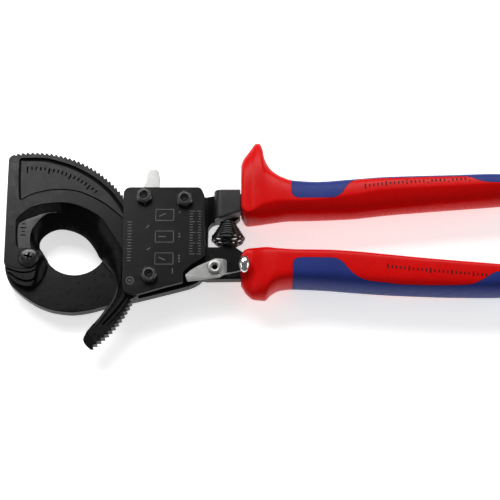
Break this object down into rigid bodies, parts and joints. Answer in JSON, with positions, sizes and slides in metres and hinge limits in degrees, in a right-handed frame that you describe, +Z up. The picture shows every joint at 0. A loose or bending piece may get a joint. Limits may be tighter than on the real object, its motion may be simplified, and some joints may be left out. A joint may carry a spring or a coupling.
{
  "type": "ratchet cable cutter",
  "caption": "Two-hand ratchet cable cutter: toothed hook blade on a fixed crescent jaw, pawl drive under a bolted cover, spring, storage latch, two-colour grips.",
  "frame": {"origin": "centre of the tool's footprint on the surface it lies on", "axes": "tool lies flat: +X from the jaws to the handle ends, +Y towards the fixed upper handle, +Z up through the tool's thickness, towards the cover side"},
  "size_m": [0.25, 0.104, 0.0216],
  "materials": {
    "black_steel": "black oxide, satin",
    "screw_steel": "black oxide, slightly glossy",
    "ground_steel": "ground",
    "bright_steel": "polished nickel",
    "spring_steel": "blackened wire",
    "red_plastic": "satin moulded red",
    "blue_plastic": "soft matt blue"
  },
  "bodies": {
    "frame": {"fixed_frame": "black_steel", "cover_plate": "black_steel", "blade_pivot_screw": "screw_steel", "blade_pivot_nut": "screw_steel", "bolt_a": "screw_steel", "bolt_b": "screw_steel", "bolt_c": "screw_steel", "nut_a": "screw_steel", "nut_b": "screw_steel", "nut_c": "screw_steel", "spacer_sleeve_a": "ground_steel", "spacer_sleeve_b": "ground_steel", "spacer_sleeve_c": "ground_steel", "pawl_spring_post": "ground_steel", "hold_pawl_spring": "spring_steel", "handle_spring": "spring_steel", "spring_peg_upper": "black_steel", "upper_grip_red": "red_plastic", "upper_grip_blue": "blue_plastic"},
    "blade": {"moving_blade": "black_steel", "blade_pivot_bush": "ground_steel"},
    "lower_handle": {"lower_lever": "black_steel", "drive_pawl_pin": "ground_steel", "drive_pawl_spring": "spring_steel", "latch_rivet": "bright_steel", "spring_peg_lower": "black_steel", "lower_grip_red": "red_plastic", "lower_grip_blue": "blue_plastic"},
    "drive_pawl": {"drive_pawl": "ground_steel"},
    "hold_pawl": {"hold_pawl": "ground_steel", "release_lever": "bright_steel"},
    "latch": {"latch_lever": "bright_steel"}
  },
  "joints": [
    {"name": "blade_swing", "type": "hinge", "parent": "frame", "child": "blade", "pos_m": [-0.11295, -0.00801, 0.012], "axis": [0, 0, 1], "range_deg": [-75, 150]},
    {"name": "handle_squeeze", "type": "hinge", "parent": "frame", "child": "lower_handle", "pos_m": [-0.03905, 0.02009, 0.012], "axis": [0, 0, 1], "range_deg": [0, 12], "stiffness_Nm_per_rad": 1, "springref_deg": -22.92, "deforming": ["handle_spring"]},
    {"name": "drive_pawl_swing", "type": "hinge", "parent": "lower_handle", "child": "drive_pawl", "pos_m": [-0.05225, 0.01579, 0.0124], "axis": [0, 0, 1], "range_deg": [-22.5, 0.5], "deforming": ["drive_pawl_spring"]},
    {"name": "release_tab", "type": "hinge", "parent": "frame", "child": "hold_pawl", "pos_m": [-0.05855, 0.02169, 0.0115], "axis": [0, 0, 1], "range_deg": [0, 12], "stiffness_Nm_per_rad": 0.02, "springref_deg": -28.65, "deforming": ["hold_pawl_spring"]},
    {"name": "latch_turn", "type": "hinge", "parent": "lower_handle", "child": "latch", "pos_m": [-0.02445, -0.01331, 0.0155], "axis": [0, 0, 1], "range_deg": [-3, 25]}
  ],
  "couplings": [
    {"joint": "drive_pawl_swing", "follows": "handle_squeeze", "ratio": -1.8333}
  ]
}
